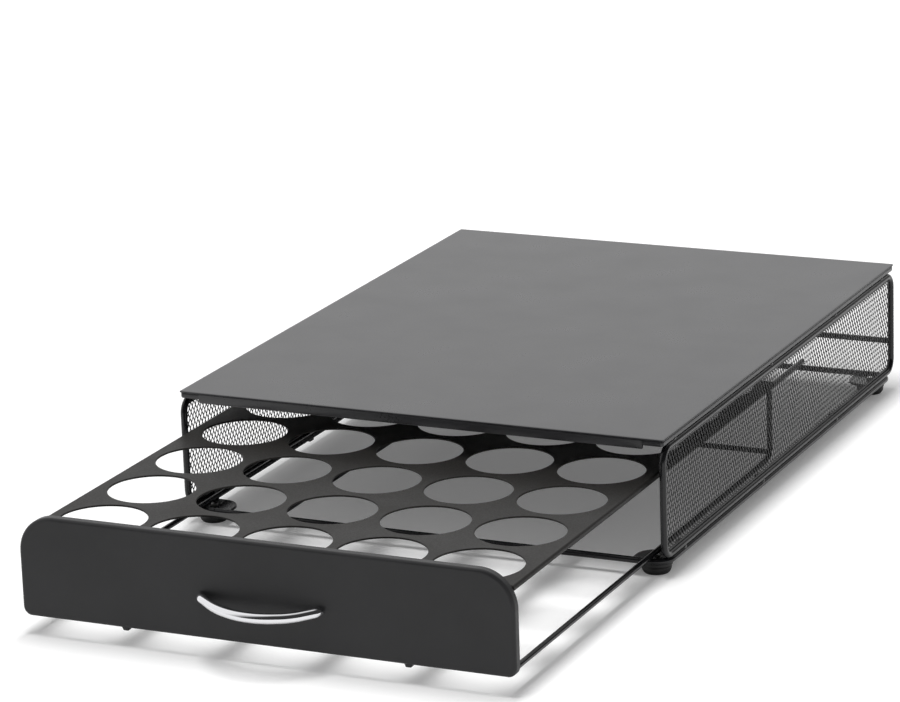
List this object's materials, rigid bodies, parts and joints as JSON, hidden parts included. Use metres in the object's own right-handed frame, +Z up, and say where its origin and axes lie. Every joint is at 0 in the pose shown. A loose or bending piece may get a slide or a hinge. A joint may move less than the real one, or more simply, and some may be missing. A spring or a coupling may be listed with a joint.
{
  "type": "coffee capsule drawer stand",
  "caption": "Low stand with a flat steel top for a coffee machine, mesh sides and a pull-out drawer whose tray holds coffee capsules in round holes.",
  "frame": {"origin": "on the ground in the middle of the footprint, with the drawer pulled out as it rests", "axes": "+X to the right seen from the front, +Y from the drawer's front to the back, +Z up"},
  "size_m": [0.293, 0.5866, 0.0792],
  "materials": {
    "lid_paint": "satin black",
    "drawer_paint": "satin black",
    "tray_paint": "satin black",
    "mesh_paint": "satin black",
    "frame_paint": "semi-gloss black",
    "rubber": "matte",
    "chrome": "polished",
    "screw_steel": "zinc plated"
  },
  "bodies": {
    "housing": {"top_panel": "lid_paint", "front_apron": "lid_paint", "side_frame_left": "frame_paint", "side_frame_right": "frame_paint", "side_mesh_left": "mesh_paint", "side_mesh_right": "mesh_paint", "base_rod_front": "frame_paint", "base_rod_rear": "frame_paint", "base_rod_left": "frame_paint", "base_rod_right": "frame_paint", "slide_rail_left": "frame_paint", "slide_rail_right": "frame_paint", "rear_bar": "frame_paint", "corner_plate_front_left": "frame_paint", "corner_plate_front_right": "frame_paint", "corner_plate_rear_left": "frame_paint", "corner_plate_rear_right": "frame_paint", "foot_front_left": "rubber", "foot_front_right": "rubber", "foot_rear_left": "rubber", "foot_rear_right": "rubber", "foot_screws": "screw_steel", "top_weld_tabs": "frame_paint", "base_weld_tabs": "frame_paint"},
    "drawer": {"drawer_front": "drawer_paint", "handle": "chrome", "handle_screws": "screw_steel", "capsule_tray": "tray_paint", "drawer_rod_left": "frame_paint", "drawer_rod_right": "frame_paint", "drawer_cross_rod": "frame_paint", "stop_tabs": "frame_paint"}
  },
  "joints": [
    {"name": "drawer_slide", "type": "slide", "parent": "housing", "child": "drawer", "axis": [0, 1, 0], "range_m": [-0.12, 0.1854]}
  ]
}
